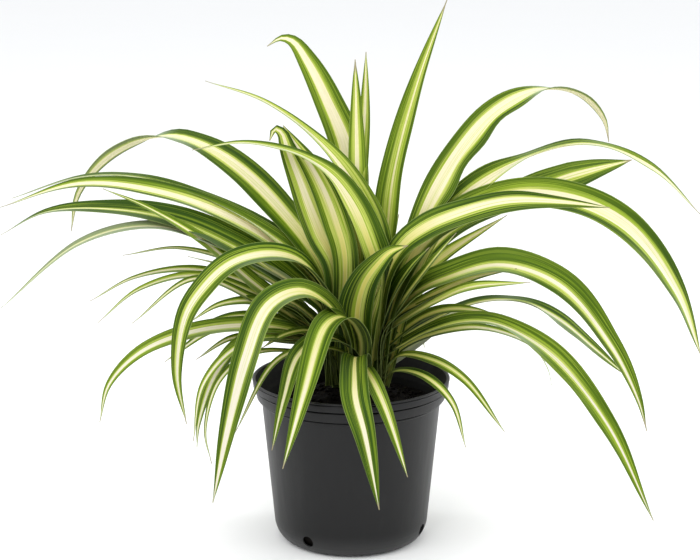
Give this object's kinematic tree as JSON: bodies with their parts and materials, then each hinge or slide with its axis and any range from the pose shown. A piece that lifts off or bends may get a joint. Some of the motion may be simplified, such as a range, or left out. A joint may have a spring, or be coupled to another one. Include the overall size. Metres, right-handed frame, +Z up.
{
  "type": "potted spider plant",
  "caption": "Variegated spider plant with long arching strap leaves, cream along the middle and green along the margins, in a tapered black plastic grower pot with drain holes.",
  "frame": {"origin": "centre of the pot's flat underside", "axes": "+Z up along the pot's axis, -Y towards the viewer of the picture, +X to the viewer's right"},
  "size_m": [0.5455, 0.31, 0.4123],
  "materials": {
    "pot_plastic": "black moulded plastic, satin",
    "soil": "dark crumbly potting mix",
    "leaf": "smooth living leaf, cream stripe between green margins"
  },
  "bodies": {
    "root": {"pot": "pot_plastic", "potting_soil": "soil", "rosette_middle": "leaf", "rosette_left": "leaf", "rosette_right": "leaf", "rosette_front": "leaf", "rosette_back": "leaf"}
  },
  "joints": []
}
